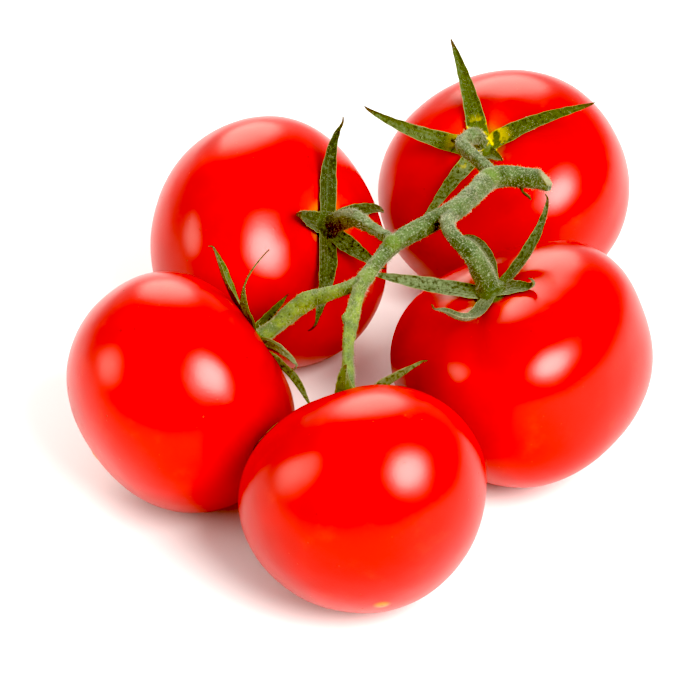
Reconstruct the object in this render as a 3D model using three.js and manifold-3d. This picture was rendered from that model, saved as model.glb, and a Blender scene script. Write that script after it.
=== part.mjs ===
// A truss of five ripe tomatoes, as picked, lying on a surface.
// Millimetres, +Z up, with the origin on the surface under the middle of the truss.
import * as THREE from 'three';
import { mergeVertices } from 'three/addons/utils/BufferGeometryUtils.js';
import Module from 'manifold-3d';

const wasm = await Module();
wasm.setup();

// Fruit form: every fruit is a flattened round with a dimple where its stem joins
const DIMPLE_DEPTH = 0.16; // share of the fruit's height lost at the stem
const DIMPLE_SPREAD = 0.33; // radians from the stem axis to the dimple's shoulder
const FRUIT_SIDES = 32;
const FRUIT_RINGS = 18;
const RING_CROWDING = 1.35; // above 1, the rings crowd towards the dimple
const FLAT_SINK = 0.4; // how far a ripe fruit settles into its flat spot

// Calyx form: a small disc on the dimple's floor, with sepals growing out round the stem
const SKIN_GAP = 0.4; // between the fruit's skin and the calyx
const DISC_TOP = 1.9; // height of the disc's flat top over the dimple's floor
const DISC_EDGE = 0.7; // thickness of the disc at its rim
const DISC_OVERHANG = 1.6; // how far the disc reaches past the sepals' roots
const DISC_SIDES = 16;
const DISC_STATIONS = [0, 0.35, 0.7, 1]; // shares of the rim's radius where the underside is drawn
const ROOT_HEIGHT = 1.1; // of a sepal's mid-line over the dimple's floor
const ROOT_CLEARANCE = 0.4; // between a sepal's root and the stem's side
const SEPAL_THICKNESS = 1.2; // at the rib, and half that along the edges
const SEPAL_STEPS = 9;
const SEPAL_SIDES = 6; // a rib and two edges on each face
const SEPAL_GUTTER = 0.5; // how far the edges stand above the rib
const SEPAL_HOOK_START = 0.6; // share of the length after which a dry tip hooks over
const TIP_SHARE = 0.17; // width left at the tip
const WIDEST_AT = 0.22; // share of the length where a sepal is widest
const ROOT_SHARE = 0.8; // width at the root
const TAPER = 0.85; // below 1, a sepal keeps its width longer before it narrows

// Stem form
const STEM_SIDES = 9;
const STEM_STEP = 2.3; // length of one ring
const STEM_GAP = 0.3; // between a side stem's end and the disc that it stands on
const STEM_LEAD = 5; // straight length with which a side stem leaves its calyx
const BUD_SIDES = 10;
const BUD_RINGS = 6;

const MERGE_GAP = 1e-4;
const FLOOR_BLOCK = 300;

const FRUIT_SKIN = { color: 0xd8120a, roughness: 0.25, metalness: 0 };
const CALYX_LEAF = { color: 0x47692a, roughness: 0.7, metalness: 0 };
const STEM_SKIN = { color: 0x6d8c4c, roughness: 0.75, metalness: 0 };

// The fruits: place on the surface, radius at the equator, heights of the stem and blossom halves as
// shares of that radius, squareness of the profile, where the stem axis points, an oval and a three-lobed
// swelling (share and angle), and the sepals.
// Each sepal: turn about the stem axis, length, rise at the root, curl along the length, hook at the tip,
// sway to the side, and width. Angles are degrees.
const FRUITS = [
  {
    name: '1', at: [0.5, -65.3], radius: 29.5, top: 0.79, bottom: 0.95, square: 1.97,
    azimuth: 99, tilt: 60, oval: [0.042, 30], lobe: [0.03, 90], stemEnd: 3.2,
    sepals: [
      [140, 13, 30, 100, 0, -10, 4.6],
      [222, 21, 12, -10, 3, 8, 3.6],
      [80, 23, 8, -50, 0, 0, 3.4],
      [300, 19, 12, -25, 30, 0, 3.8],
      [10, 18, 15, -20, 25, 0, 3.8],
    ],
  },
  {
    name: '2', at: [-42, -26.8], radius: 29.75, top: 0.74, bottom: 0.93, square: 2.21,
    azimuth: 28, tilt: 66, oval: [0.023, 140], lobe: [0.005, 5], stemEnd: 4.4,
    sepals: [
      [118, 22, 1, 18, -12, 0, 4],
      [152, 32, -14, 67, 17, 20, 3.2],
      [212, 21, 18, -23, 5, 8, 3.6],
      [302, 20, 23, -38, 16, 0, 3.2],
      [34, 16, 46, 28, -26, -8, 3.4],
    ],
  },
  {
    name: '3', at: [-23, 32.2], radius: 32, top: 0.74, bottom: 0.84, square: 2.24,
    azimuth: 326, tilt: 54, oval: [0.015, 25], lobe: [0.022, 5], stemEnd: 5.3,
    sepals: [
      [10, 22, 2, 42, 20, 0, 4.2],
      [94, 12, 12, 20, 40, 0, 4.4],
      [168, 26, 21, -24, 10, -9, 4],
      [304, 19, 12, -38, 0, -29, 3.4],
      [221, 15, 38, 4, 0, 0, 3.8],
    ],
  },
  {
    name: '4', at: [37.5, 62.7], radius: 31.75, top: 0.77, bottom: 0.82, square: 2.4,
    azimuth: 234, tilt: 32, oval: [0.036, 90], lobe: [0.013, 100], stemEnd: 4.6,
    sepals: [
      [87, 30, 38, 15, 0, -17, 4.6],
      [6, 26, 15, 10, 15, 9, 5.2],
      [278, 29, 25, -28, 10, -4, 4.8],
      [149, 26, 23, -15, 10, 0, 3.8],
      [221, 10, 30, 10, 20, 0, 3.6],
    ],
  },
  {
    name: '5', at: [38.5, -13.8], radius: 31, top: 0.71, bottom: 0.91, square: 2.62,
    azimuth: 172, tilt: 22, oval: [0.019, 105], lobe: [0.04, 60], stemEnd: 5.7,
    sepals: [
      [79, 26, 27, 4, 0, 0, 4.6],
      [168, 31, 6, 66, -38, -12, 3.8],
      [289, 24, 23, 35, 10, 0, 4],
      [238, 11, 6, 0, 100, 0, 4],
      [354, 25, 19, -33, 0, 47, 3.8],
    ],
  },
];

// The main stem from its cut end to its fork, each point with the stem's diameter there
const MAIN_STEM = [
  [45.5, 22.5, 57, 5.2],
  [40, 25, 56.5, 5.4],
  [33, 26, 56, 5.8],
  [27.5, 15.5, 58, 5.2],
  [22, 5.5, 59.5, 5.4],
  [15, 0.5, 58.5, 5.2],
  [8, -3.5, 56.5, 4.8],
  [4, -8, 54.5, 4],
  [0, -15, 53, 4.2],
];

// The side stems by fruit, from the main stem out to the lead that meets the calyx.
// The last point listed is the swollen knuckle, except on fruit 1, whose knuckle is midway.
const SIDE_STEMS = {
  1: [[0, -15, 53, 3.6], [-1.5, -21, 52, 3.6], [-2.5, -26, 50.5, 3.7], [-3.5, -34.5, 47, 3]],
  2: [[0, -15, 53, 3.8], [-5.5, -15, 50.5, 3.5], [-14.5, -13.5, 45.5, 4.9]],
  3: [[8, -3.5, 56.5, 3.4], [3.5, 4.5, 54.5, 3.2], [-2, 14.5, 51.5, 4.4]],
  4: [[33, 26, 56, 3.8], [29, 34, 56, 3.6], [25.5, 43, 54.5, 4.1]],
  5: [[22, 5.5, 59.5, 3.8], [20.5, -3.5, 61.5, 3.7], [23, -11, 62, 4], [26, -13, 60, 5]],
};

// Rounded bud scars on the stems: centre and radius
const BUD_SCARS = [
  [31.5, 24, 57.2, 2.4],
  [7, -4.6, 57.4, 1.9],
  [-3.7, -26.7, 50.5, 1.4],
];

const radians = THREE.MathUtils.degToRad;

// A closed solid from a geometry whose shared vertices are merged
function solidOf(geometry) {
  const bare = geometry.clone();
  bare.deleteAttribute('normal');
  bare.deleteAttribute('uv');
  const merged = mergeVertices(bare, MERGE_GAP);
  return new wasm.Manifold(new wasm.Mesh({
    numProp: 3,
    vertProperties: new Float32Array(merged.attributes.position.array),
    triVerts: new Uint32Array(merged.index.array),
  }));
}

// A mesh that carries a solid under the node's name
function meshOf(name, solid, finish) {
  const { vertProperties, triVerts } = solid.getMesh();
  const geometry = new THREE.BufferGeometry();
  geometry.setAttribute('position', new THREE.BufferAttribute(vertProperties, 3));
  geometry.setIndex(new THREE.BufferAttribute(triVerts, 1));
  geometry.computeVertexNormals();
  const mesh = new THREE.Mesh(geometry, new THREE.MeshStandardMaterial(finish));
  mesh.name = name;
  return mesh;
}

// Moves each vertex of a geometry to where a rule puts it
function reshape(geometry, rule) {
  const position = geometry.attributes.position;
  const vertex = new THREE.Vector3();
  for (let i = 0; i < position.count; i += 1) {
    vertex.fromBufferAttribute(position, i);
    rule(vertex);
    position.setXYZ(i, vertex.x, vertex.y, vertex.z);
  }
  return geometry;
}

// Distance from a fruit's centre to its skin, at an angle from the stem axis and a turn about it
function skinRadius(fruit, angle, turn) {
  const across = Math.sin(angle);
  const along = Math.cos(angle);
  const half = fruit.radius * (along > 0 ? fruit.top : fruit.bottom);
  const sum = Math.abs(across / fruit.radius) ** fruit.square + Math.abs(along / half) ** fruit.square;
  const round = sum ** (-1 / fruit.square);
  const dimple = 1 - DIMPLE_DEPTH * Math.exp(-((angle / DIMPLE_SPREAD) ** 2));
  const [ovalShare, ovalAt] = fruit.oval;
  const [lobeShare, lobeAt] = fruit.lobe;
  const oval = ovalShare * Math.cos(2 * (turn - radians(ovalAt)));
  const lobe = lobeShare * Math.cos(3 * (turn - radians(lobeAt)));
  return round * dimple * (1 + (oval + lobe) * across * across);
}

function dimpleFloor(fruit) {
  return skinRadius(fruit, 0, 0);
}

// The fruit about its own centre, with the stem axis along +Z
function fruitGeometry(fruit) {
  const sphere = new THREE.SphereGeometry(1, FRUIT_SIDES, FRUIT_RINGS);
  sphere.rotateX(Math.PI / 2);
  return reshape(sphere, (vertex) => {
    const share = Math.acos(THREE.MathUtils.clamp(vertex.z, -1, 1)) / Math.PI;
    const angle = Math.PI * share ** RING_CROWDING;
    const turn = Math.atan2(vertex.y, vertex.x);
    const reach = skinRadius(fruit, angle, turn);
    const across = reach * Math.sin(angle);
    vertex.set(across * Math.cos(turn), across * Math.sin(turn), reach * Math.cos(angle));
  });
}

// The group that stands a fruit on the surface with its stem axis turned as it lies
function fruitGroup(fruit, geometry) {
  const tilt = radians(fruit.tilt);
  const azimuth = radians(fruit.azimuth);
  const axis = new THREE.Vector3(
    Math.sin(tilt) * Math.cos(azimuth),
    Math.sin(tilt) * Math.sin(azimuth),
    Math.cos(tilt),
  );
  const first = new THREE.Vector3(1, 0, 0).cross(axis).normalize().negate();
  const second = axis.clone().cross(first);
  const group = new THREE.Group();
  group.quaternion.setFromRotationMatrix(new THREE.Matrix4().makeBasis(first, second, axis));
  const turned = geometry.clone().applyQuaternion(group.quaternion);
  turned.computeBoundingBox();
  group.position.set(fruit.at[0], fruit.at[1], -turned.boundingBox.min.z - FLAT_SINK);
  group.updateMatrixWorld();
  return group;
}

// The block under the surface, seen from inside a fruit's group
function floorBlock(group) {
  const block = new THREE.BoxGeometry(FLOOR_BLOCK, FLOOR_BLOCK, FLOOR_BLOCK);
  block.translate(group.position.x, group.position.y, -FLOOR_BLOCK / 2);
  return solidOf(block.applyMatrix4(group.matrixWorld.clone().invert()));
}

// Moves a point in a fruit's frame out of the fruit, until it is clear of the skin
function liftOffSkin(fruit, point, clearance) {
  const reach = point.length();
  const skin = skinRadius(fruit, Math.acos(point.z / reach), Math.atan2(point.y, point.x));
  return point.multiplyScalar(Math.max(1, (skin + clearance) / reach));
}

// Mid-line of a sepal in its fruit's frame: it sets out from the disc, and slides along the skin where
// its curve would enter the fruit
function sepalPath(fruit, [turn, length, rise, curl, hook, sway]) {
  const heading = radians(turn);
  const root = fruit.stemEnd / 2 + ROOT_CLEARANCE;
  const clearance = SKIN_GAP + SEPAL_THICKNESS / 2;
  const point = new THREE.Vector3(
    root * Math.cos(heading),
    root * Math.sin(heading),
    dimpleFloor(fruit) + ROOT_HEIGHT,
  );
  liftOffSkin(fruit, point, clearance);
  const path = [];
  for (let i = 0; i <= SEPAL_STEPS; i += 1) {
    const share = i / SEPAL_STEPS;
    const bend = Math.max(0, (share - SEPAL_HOOK_START) / (1 - SEPAL_HOOK_START)) ** 2;
    const slope = radians(rise + curl * share + hook * bend);
    const way = heading + radians(sway) * share;
    const ahead = new THREE.Vector3(
      Math.cos(slope) * Math.cos(way),
      Math.cos(slope) * Math.sin(way),
      Math.sin(slope),
    );
    path.push({ point: point.clone(), side: new THREE.Vector3(-Math.sin(way), Math.cos(way), 0) });
    point.addScaledVector(ahead, length / SEPAL_STEPS);
    liftOffSkin(fruit, point, clearance);
  }
  return path;
}

// Width of a sepal along its length: widest near the root, drawn out to a narrow tip
function sepalWidth(width, share) {
  if (share < WIDEST_AT) {
    return width * (ROOT_SHARE + (1 - ROOT_SHARE) * Math.sin(Math.PI / 2 * share / WIDEST_AT));
  }
  const left = (1 - share) / (1 - WIDEST_AT);
  return width * (TIP_SHARE + (1 - TIP_SHARE) * left ** TAPER);
}

// A sepal: a six-sided bar bent along the mid-line and spread into a ribbed blade
function sepalSolid(fruit, sepal) {
  const path = sepalPath(fruit, sepal);
  const frames = path.map(({ point, side }, i) => {
    const before = path[Math.max(0, i - 1)].point;
    const after = path[Math.min(SEPAL_STEPS, i + 1)].point;
    const along = after.clone().sub(before).normalize();
    return { point, side, up: along.cross(side).normalize() };
  });
  const width = sepal.at(-1);
  const edge = Math.sin(Math.PI / 3);
  const bar = new THREE.CylinderGeometry(1, 1, 1, SEPAL_SIDES, SEPAL_STEPS);
  return solidOf(reshape(bar, (vertex) => {
    const share = vertex.y + 0.5;
    const { point, side, up } = frames[Math.round(share * SEPAL_STEPS)];
    const half = sepalWidth(width, share) / 2;
    const across = vertex.x / edge;
    const gutter = SEPAL_GUTTER * across * across * Math.min(1, half);
    const height = vertex.z * SEPAL_THICKNESS / 2 + gutter;
    vertex.copy(point).addScaledVector(side, -across * half).addScaledVector(up, height);
  }));
}

// The disc that the sepals grow from: its underside follows the dimple, its top is flat for the stem
function discSolid(fruit) {
  const rim = fruit.stemEnd / 2 + ROOT_CLEARANCE + DISC_OVERHANG;
  const floor = dimpleFloor(fruit);
  const widest = Math.asin(rim / floor);
  const under = DISC_STATIONS.map((share) => {
    const angle = widest * share;
    const reach = skinRadius(fruit, angle, 0) + SKIN_GAP;
    return new THREE.Vector2(reach * Math.sin(angle), reach * Math.cos(angle));
  });
  const outer = under[under.length - 1];
  const profile = [
    ...under,
    new THREE.Vector2(outer.x, outer.y + DISC_EDGE),
    new THREE.Vector2(fruit.stemEnd / 2, floor + DISC_TOP),
    new THREE.Vector2(0, floor + DISC_TOP),
  ];
  return solidOf(new THREE.LatheGeometry(profile, DISC_SIDES).rotateX(Math.PI / 2));
}

function calyxSolid(fruit) {
  return fruit.sepals.reduce((calyx, sepal) => calyx.add(sepalSolid(fruit, sepal)), discSolid(fruit));
}

// A stem through points that carry its diameter: a round bar bent along their curve
function stemSolid(stations) {
  const curve = new THREE.CatmullRomCurve3(stations.map(([x, y, z]) => new THREE.Vector3(x, y, z)));
  const steps = Math.ceil(curve.getLength() / STEM_STEP);
  const { normals, binormals } = curve.computeFrenetFrames(steps, false);
  const bar = new THREE.CylinderGeometry(1, 1, 1, STEM_SIDES, steps);
  return solidOf(reshape(bar, (vertex) => {
    const ring = Math.round((vertex.y + 0.5) * steps);
    const place = curve.getUtoTmapping(ring / steps) * (stations.length - 1);
    const from = Math.min(Math.floor(place), stations.length - 2);
    const blend = THREE.MathUtils.smoothstep(place - from, 0, 1);
    const half = THREE.MathUtils.lerp(stations[from][3], stations[from + 1][3], blend) / 2;
    const [across, depth] = [vertex.x * half, vertex.z * half];
    curve.getPointAt(ring / steps, vertex);
    vertex.addScaledVector(normals[ring], across).addScaledVector(binormals[ring], -depth);
  }));
}

// The end of a side stem: a straight lead along the stem axis down to the calyx disc
function stemLead(fruit, group) {
  const foot = dimpleFloor(fruit) + DISC_TOP + STEM_GAP;
  return [foot + STEM_LEAD, foot].map((height) => {
    const point = group.localToWorld(new THREE.Vector3(0, 0, height));
    return [point.x, point.y, point.z, fruit.stemEnd];
  });
}

function budScar([x, y, z, radius]) {
  return solidOf(new THREE.SphereGeometry(radius, BUD_SIDES, BUD_RINGS).translate(x, y, z));
}

const truss = new THREE.Group();
let stem = stemSolid(MAIN_STEM);
for (const fruit of FRUITS) {
  const geometry = fruitGeometry(fruit);
  const group = fruitGroup(fruit, geometry);
  const flesh = solidOf(geometry).subtract(floorBlock(group));
  group.add(meshOf(`tomato_${fruit.name}`, flesh, FRUIT_SKIN));
  group.add(meshOf(`calyx_${fruit.name}`, calyxSolid(fruit), CALYX_LEAF));
  truss.add(group);
  stem = stem.add(stemSolid([...SIDE_STEMS[fruit.name], ...stemLead(fruit, group)]));
}
stem = BUD_SCARS.reduce((sum, scar) => sum.add(budScar(scar)), stem);
truss.add(meshOf('truss_stem', stem, STEM_SKIN));

export default truss;
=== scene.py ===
"""Looks of a truss of five ripe tomatoes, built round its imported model."""
import math

import bpy
import numpy as np
from bpy.props import FloatProperty, FloatVectorProperty, IntProperty, PointerProperty
from mathutils import Matrix, Vector, noise
from mathutils.kdtree import KDTree


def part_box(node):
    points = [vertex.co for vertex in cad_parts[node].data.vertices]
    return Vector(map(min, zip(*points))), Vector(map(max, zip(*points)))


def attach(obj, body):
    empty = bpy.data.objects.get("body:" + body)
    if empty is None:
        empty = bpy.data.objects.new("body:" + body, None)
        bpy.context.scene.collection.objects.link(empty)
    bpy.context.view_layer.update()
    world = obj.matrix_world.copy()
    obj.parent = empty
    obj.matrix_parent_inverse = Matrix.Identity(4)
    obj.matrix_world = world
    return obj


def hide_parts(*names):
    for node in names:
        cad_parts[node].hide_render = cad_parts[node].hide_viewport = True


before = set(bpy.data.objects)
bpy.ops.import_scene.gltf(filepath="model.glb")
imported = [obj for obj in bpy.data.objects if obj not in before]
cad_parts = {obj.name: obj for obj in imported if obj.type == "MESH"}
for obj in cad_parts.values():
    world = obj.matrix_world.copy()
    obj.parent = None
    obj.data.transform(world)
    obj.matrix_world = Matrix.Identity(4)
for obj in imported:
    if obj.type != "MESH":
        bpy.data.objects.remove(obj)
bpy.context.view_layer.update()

bl_info = {
    "name": "Truss of tomatoes",
    "version": (1, 0, 0),
    "blender": (4, 5, 0),
    "location": "3D View > Sidebar > Tomatoes",
    "description": "Dresses the truss with skin, calyxes, stem, hairs and a studio stage",
    "category": "Object",
}

BODY = "root"
MM = 0.001
TINY = 1e-6
PATH_STEP = 0.6
SPECK_CORE = 0.4

# Fruit form: shares, counts, and angles from the stem axis in radians; the dimple is that of the solids
DIMPLE_DEPTH = 0.16
DIMPLE_SPREAD = 0.33
FURROW_COUNT = 7
FURROW_AT = 0.42
FURROW_SPREAD = 0.2
FURROW_WANDER = 5
LUMP_SCALE = 1.3
SCAR_HEIGHT = 0.4
SCAR_RIM = 0.04
SCAR_PIT = 0.018
SEED_STEP = 7
OUTLINE_STEPS = (90, 120)

# Calyx form, in millimetres, with shares of a sepal's length or width
ROOT_HEIGHT = 1.1
ROOT_CLEARANCE = 0.4
SKIN_CLEARANCE = 0.75
SEPAL_STEPS = 9
SEPAL_HOOK_START = 0.6
TIP_SHARE = 0.17
THREAD_HALF = 0.14
WIDEST_AT = 0.22
ROOT_SHARE = 1.05
TAPER = 0.85

# A sepal's cross-section: how far it thins at the edges and in the thread, its rib and its fine veins
EDGE_THINNING = 0.55
THREAD_THICKNESS = 0.35
RIB_SPREAD = 0.17
RIB_UNDER = 1.6
RIB_GROOVE = 0.4
VEIN_HEIGHT = 0.12
VEIN_TURN = 14

# Waves along a sepal: radians over its length, and how far their start differs between sepals
WAVE = (11, 40)
WAVE_SKEW = 2
RIPPLE = (23, -90)
JAG = (37, 70)
JAG_SIZE = 0.03

# The disc under the sepals, in millimetres over the dimple's floor. Rings of the rim give a share of its
# radius, rings of the collar how far they stand out from the stem, and both their height.
DISC_TOP = 1.9
DISC_OVERHANG = 1.6
DISC_SINK = 0.6
DISC_RIM = [(0.7, 0.1), (1, 0.75), (0.96, 1.2)]
DISC_COLLAR = [(1, 1.75), (0.45, 2.25), (0.1, 3.1)]
DISC_SIDES = 40
DISC_WAIST = 0.9
DISC_BULGE = 0.16
BULGE_SHARPNESS = 6

# Stem form, in millimetres and radians
STEM_GAP = 0.3
STEM_LEAD = 5
STEM_FOOT_SINK = 1.3
STEM_ALLOWANCE = 0.15
CUT_AT = (45.4, 23.15, 57.9)
CUT_FACING = (0.74, 0.08, 0.66)
CUT_REACH = 6
SHOOT_STEP = 0.3
BUD_REACH = 4
BUD_STRETCH = 1.15
BUD_END = 0.98
BUD_STEPS = 11
RIDGE_COUNT = 5
RIDGE_TWIST = 0.12
RIDGE_START = (0.3, 0.2, 1)
LUMP_GRAIN = 0.45
PIT_GRAIN = 1.6
PIT_SHARE = 0.45

# Shading of the stems: which of them stand out and how strongly, and spans from none to full, in
# millimetres, or in radii of a bud scar for the smooth scars, which are the first of the table
YOUNG_STEMS = ("1", "2")
FRESH_START = 0.4
FRESH_RUN = (0, 9)
FRESH_FRONT = (6, 16)
WORN_STEM = "3"
WORN_ELSEWHERE = 0.25
WORN_RUN = (9, 3)
BUD_SHADE = (1.5, 0.8)
CUT_SHADE = (-0.35, -0.1)
CUT_RIM_SHADE = (-1.1, -0.4)
SHOOT_SHADE = (1.3, 0.7)
SMOOTH_BUDS = 2

# Hairs: sides, share of the width left at the tip, shares of the length for the shortest and longest, and
# how many times the lean a hair may spin about itself
HAIR_SIDES = 3
HAIR_TIP = 0.25
HAIR_LENGTHS = (0.4, 1.3)
HAIR_SPIN = 3

# Softboxes: name, direction from the truss, distance, width and height in metres, power in watts and colour
SOFTBOXES = [
    ("key_box", (0.45, -0.6, 0.66), 1.6, 0.9, 0.9, 38.0, (1.0, 0.97, 0.92)),
    ("left_box", (-0.93, -0.12, 0.34), 1.6, 0.7, 0.7, 7.0, (1.0, 0.9, 0.76)),
    ("back_box", (-0.1, 0.8, 0.52), 1.6, 1.1, 1.2, 15.5, (1.0, 0.92, 0.8)),
]

# Width of the camera's sensor, in millimetres
SENSOR_WIDTH = 36

# The fruits: place on the surface, radius at the equator, heights of the stem and blossom halves as
# shares of that radius, squareness of the profile, where the stem axis points, an oval and a three-lobed
# swelling (share and angle), the side stem's diameter at the calyx, how young the calyx still looks, how far
# yellow patches show at its sepals' roots, the bloom on each sepal, and the sepals.
# Each sepal: turn about the stem axis, length, rise at the root, curl along the length, hook at the tip,
# sway to the side, width, the length and curl of its dry thread, and its roll. Angles are degrees.
FRUITS = [
    {
        "name": "1", "at": (0.5, -65.3), "radius": 29.5, "top": 0.79, "bottom": 0.95, "square": 1.97,
        "azimuth": 99, "tilt": 60, "oval": (0.042, 30), "lobe": (0.03, 90), "stem_end": 3.2,
        "youth": 0.4, "blush": 0.0, "bloom": (0, 0.9, 0.2, 0.2, 0.2),
        "sepals": [
            (159, 11, 42, -8, 0, 46, 5.4, 0.6, 0, 9),
            (222, 21, 12, -10, 3, 8, 3.6, 2.0, -40, 0),
            (80, 23, 8, -50, 0, 0, 3.4, 2.0, -60, 0),
            (300, 19, 12, -25, 30, 0, 3.8, 2.0, 120, 0),
            (10, 18, 15, -20, 25, 0, 3.8, 1.5, 90, 0),
        ],
    },
    {
        "name": "2", "at": (-42, -26.8), "radius": 29.75, "top": 0.74, "bottom": 0.93, "square": 2.21,
        "azimuth": 28, "tilt": 66, "oval": (0.023, 140), "lobe": (0.005, 5), "stem_end": 4.4,
        "youth": 0.4, "blush": 0.0, "bloom": (0.1, 0.2, 0.4, 0.9, 0.1),
        "sepals": [
            (118, 22, 1, 18, -12, 0, 4, 1.8, -90, -55),
            (152, 19, -14, 40, 0, 12, 3.4, 13.0, 46, 0),
            (212, 21, 18, -23, 5, 8, 3.6, 2.4, -150, -40),
            (302, 20, 23, -38, 16, 0, 3.4, 2.0, 90, -50),
            (34, 16, 46, 28, -26, -8, 3.4, 1.5, 90, 0),
        ],
    },
    {
        "name": "3", "at": (-23, 32.2), "radius": 32, "top": 0.74, "bottom": 0.84, "square": 2.24,
        "azimuth": 326, "tilt": 54, "oval": (0.015, 25), "lobe": (0.022, 5), "stem_end": 5.3,
        "youth": 0.08, "blush": 0.0, "bloom": (0, 0.1, 0.35, 0.2, 0.9),
        "sepals": [
            (10, 22, 2, 42, 20, 0, 5.4, 3.0, -70, -35),
            (94, 12, 12, 20, 40, 0, 5.6, 1.2, 60, 0),
            (168, 26, 21, -24, 10, -9, 5.6, 4.0, -120, 45),
            (304, 19, 12, -38, 0, -29, 4.4, 1.4, -120, 0),
            (221, 15, 38, 4, 0, 0, 5.2, 1.5, 60, 55),
        ],
    },
    {
        "name": "4", "at": (37.5, 62.7), "radius": 31.75, "top": 0.77, "bottom": 0.82, "square": 2.4,
        "azimuth": 234, "tilt": 32, "oval": (0.036, 90), "lobe": (0.013, 100), "stem_end": 4.6,
        "youth": 0.3, "blush": 1.0, "bloom": (0.2, 0, 0, 0.85, 0.3),
        "sepals": [
            (87, 30, 38, 15, 0, -17, 5.0, 1.6, 30, -40),
            (6, 26, 15, 10, 15, 9, 5.2, 1.4, -60, 0),
            (278, 29, 25, -28, 10, -4, 4.8, 1.6, 20, 40),
            (149, 26, 23, -15, 10, 0, 4.6, 1.5, -60, -45),
            (221, 10, 30, 10, 20, 0, 3.6, 1.5, 60, 0),
        ],
    },
    {
        "name": "5", "at": (38.5, -13.8), "radius": 31, "top": 0.71, "bottom": 0.91, "square": 2.62,
        "azimuth": 172, "tilt": 22, "oval": (0.019, 105), "lobe": (0.04, 60), "stem_end": 5.7,
        "youth": 0.12, "blush": 0.0, "bloom": (1, 0.2, 0.5, 0.4, 0.3),
        "sepals": [
            (79, 26, 27, 4, 0, 0, 5.0, 1.2, -30, -60),
            (168, 31, 6, 66, -38, -12, 3.8, 3.0, 80, -70),
            (289, 24, 23, 35, 10, 0, 4.2, 2.0, 60, 50),
            (238, 11, 6, 0, 100, 0, 4.6, 1.6, 90, 50),
            (354, 25, 19, -33, 0, 47, 3.8, 2.6, 110, 0),
        ],
    },
]

# The main stem from its cut end to its fork, each point with the stem's diameter there
MAIN_STEM = [
    (46.7, 22, 57.1, 5.2),
    (40, 25, 56.5, 5.4),
    (33, 26, 56, 5.8),
    (27.5, 15.5, 58, 5.2),
    (22, 5.5, 59.5, 5.4),
    (15, 0.5, 58.5, 5.2),
    (8, -3.5, 56.5, 4.8),
    (4, -8, 54.5, 4),
    (0, -15, 53, 4.2),
]

# The side stems by fruit, from the main stem out to the lead that meets the calyx
SIDE_STEMS = {
    "1": [(0, -15, 53, 3.6), (-1.5, -21, 52, 3.6), (-2.5, -26, 50.5, 3.7), (-3.5, -34.5, 47, 3)],
    "2": [(0, -15, 53, 3.8), (-5.5, -15, 50.5, 3.5), (-14.5, -13.5, 45.5, 4.9)],
    "3": [(8, -3.5, 56.5, 3.4), (3.5, 4.5, 54.5, 3.2), (-2, 14.5, 51.5, 4.4)],
    "4": [(33, 26, 56, 3.8), (29, 34, 56, 3.6), (25.5, 43, 54.5, 4.1)],
    "5": [(22, 5.5, 59.5, 3.8), (20.5, -3.5, 61.5, 3.7), (23, -11, 62, 4), (26, -13, 60, 5)],
}

# A dried shoot under the stem, each point with its half width
DRIED_SHOOT = [
    (39.5, 24.6, 56, 0.55),
    (39.5, 23.7, 54.6, 0.5),
    (40.3, 22.8, 53.3, 0.45),
    (41.3, 22.3, 52.8, 0.42),
    (42.2, 21.8, 51.8, 0.36),
]

# Rounded bud scars on the stems: centre and radius
BUD_SCARS = [
    (31.5, 24, 57.2, 2.4),
    (7, -4.6, 57.4, 1.9),
    (-3.7, -26.7, 50.5, 1.4),
]


class Wire:
    """One output of a node; arithmetic on it adds Math nodes to the same tree."""

    def __init__(self, tree, socket):
        self.tree = tree
        self.socket = socket

    def calc(self, operation, *terms):
        return add_node(self.tree, "ShaderNodeMath", {"operation": operation}, dict(enumerate(terms)))

    def other(self, name):
        return Wire(self.tree, self.socket.node.outputs[name])

    def __add__(self, term):
        return self.calc("ADD", self, term)

    def __radd__(self, term):
        return self.calc("ADD", term, self)

    def __sub__(self, term):
        return self.calc("SUBTRACT", self, term)

    def __rsub__(self, term):
        return self.calc("SUBTRACT", term, self)

    def __mul__(self, term):
        return self.calc("MULTIPLY", self, term)

    def __rmul__(self, term):
        return self.calc("MULTIPLY", term, self)

    def __truediv__(self, term):
        return self.calc("DIVIDE", self, term)

    def __rtruediv__(self, term):
        return self.calc("DIVIDE", term, self)

    def __pow__(self, term):
        return self.calc("POWER", self, term)

    def __neg__(self):
        return self.calc("SUBTRACT", 0.0, self)

    def __abs__(self):
        return self.calc("ABSOLUTE", self)

    def __gt__(self, term):
        return self.calc("GREATER_THAN", self, term)


def add_node(tree, kind, settings=None, inputs=None, output=0):
    """Adds a node: its settings first, then the values or links of its sockets."""
    node = tree.nodes.new(kind)
    for name, value in (settings or {}).items():
        setattr(node, name, value)
    for key, value in (inputs or {}).items():
        if isinstance(value, Wire):
            tree.links.new(value.socket, node.inputs[key])
        else:
            node.inputs[key].default_value = value
    return Wire(tree, node.outputs[output])


def sine(value):
    return value.calc("SINE", value)


def cosine(value):
    return value.calc("COSINE", value)


def bell(value, middle, spread):
    """1 where the value is at the middle, falling to 0 on both sides."""
    off = (value - middle) / spread
    return off.calc("EXPONENT", -(off * off))


def ramp(value, low, high, first=0.0, last=1.0):
    """Eases from first to last while the value goes from low to high."""
    return add_node(value.tree, "ShaderNodeMapRange", {"interpolation_type": "SMOOTHSTEP"}, {
        "Value": value, "From Min": low, "From Max": high, "To Min": first, "To Max": last})


def mixed(factor, first, second):
    """A colour between two."""
    return add_node(factor.tree, "ShaderNodeMix", {"data_type": "RGBA"}, {0: factor, 6: first, 7: second}, 2)


def grain(place, scale, detail=2.0, roughness=0.5):
    """Soft noise over a surface, from 0 to 1."""
    return add_node(place.tree, "ShaderNodeTexNoise", inputs={
        "Vector": place, "Scale": scale, "Detail": detail, "Roughness": roughness})


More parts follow.
